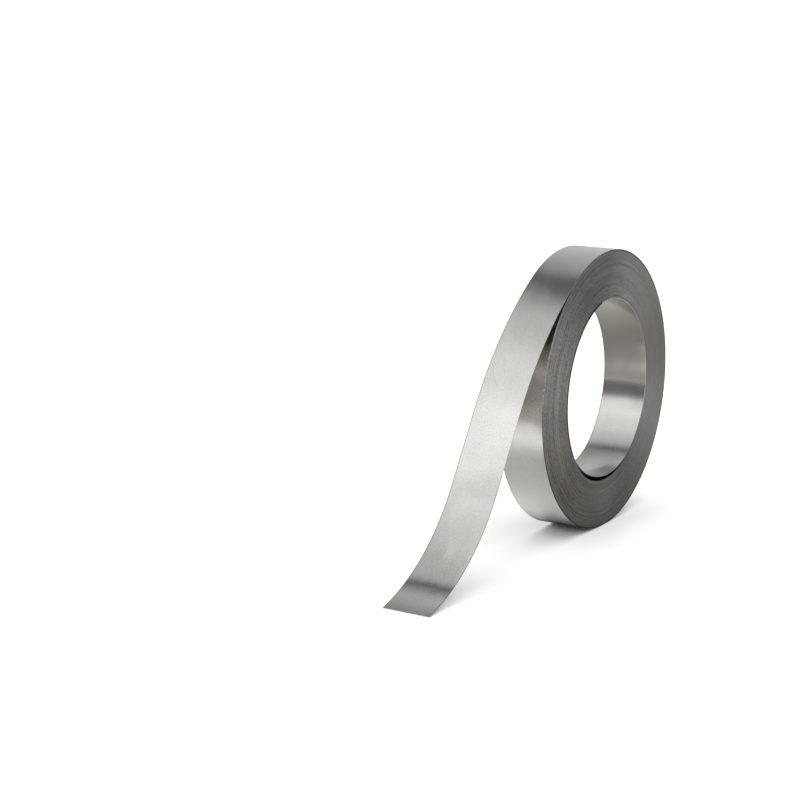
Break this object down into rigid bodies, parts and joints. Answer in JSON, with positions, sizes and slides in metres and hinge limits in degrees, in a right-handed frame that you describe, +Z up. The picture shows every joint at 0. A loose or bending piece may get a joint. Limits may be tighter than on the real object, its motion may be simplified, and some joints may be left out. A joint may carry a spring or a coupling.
{
  "type": "nickel strip",
  "caption": "A roll of thin flat metal strip standing on its rim, wound tight round an open bore, with its outer end peeled off near the top and curving down to rest its tip on the floor",
  "frame": {"origin": "the middle of the bore, on its axis, halfway across the width of the strip", "axes": "+Z up, +Y along the axis of the bore, and the free end of the strip points along -X"},
  "size_m": [0.1995, 0.02, 0.1156],
  "materials": {
    "nickel": "satin"
  },
  "bodies": {
    "root": {"nickel_strip": "nickel"}
  },
  "joints": []
}
